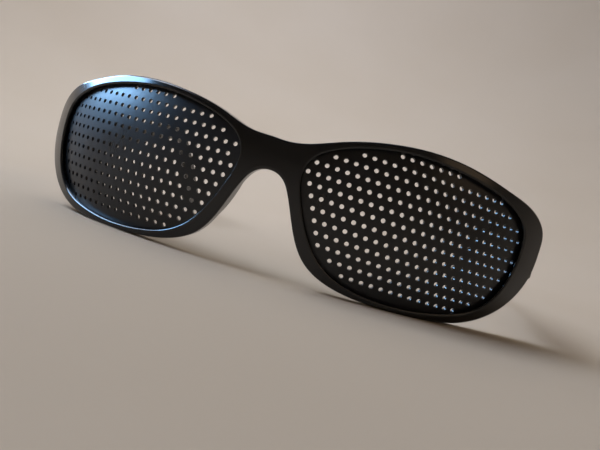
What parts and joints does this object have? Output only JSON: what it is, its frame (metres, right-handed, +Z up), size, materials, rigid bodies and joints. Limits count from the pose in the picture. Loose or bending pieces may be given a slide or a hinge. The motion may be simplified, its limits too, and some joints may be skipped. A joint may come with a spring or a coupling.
{
  "type": "pinhole glasses",
  "caption": "Wrap-around black pinhole glasses: a one-piece front, opaque curved plates pierced with a grid of small holes, and folding temples on barrel hinges.",
  "frame": {"origin": "centre of the bounding box on the table that the glasses stand on", "axes": "+Z up from the table, +Y backwards from the front towards the temple tips, +X to the wearer's left (right as seen from the front); both temples open, standing on both lower rims and both temple tips"},
  "size_m": [0.1502, 0.1592, 0.0426],
  "materials": {
    "frame_plastic": "polished black moulded plastic",
    "plate_plastic": "glossy black sheet with drilled holes",
    "hinge_metal": "stamped and turned metal"
  },
  "bodies": {
    "front": {"front_frame": "frame_plastic", "pinhole_plate_left": "plate_plastic", "pinhole_plate_right": "plate_plastic", "front_hinge_leaf_left": "hinge_metal", "front_hinge_leaf_right": "hinge_metal", "hinge_screw_left": "hinge_metal", "hinge_screw_right": "hinge_metal"},
    "left_temple": {"temple_left": "frame_plastic", "temple_hinge_leaf_left": "hinge_metal"},
    "right_temple": {"temple_right": "frame_plastic", "temple_hinge_leaf_right": "hinge_metal"}
  },
  "joints": [
    {"name": "left_temple_fold", "type": "hinge", "parent": "front", "child": "left_temple", "pos_m": [0.0696, -0.05093, 0.02354], "axis": [0, -0.0558, 0.9984], "range_deg": [0, 87]},
    {"name": "right_temple_fold", "type": "hinge", "parent": "front", "child": "right_temple", "pos_m": [-0.0696, -0.05093, 0.02354], "axis": [0, 0.0558, -0.9984], "range_deg": [0, 92]}
  ]
}
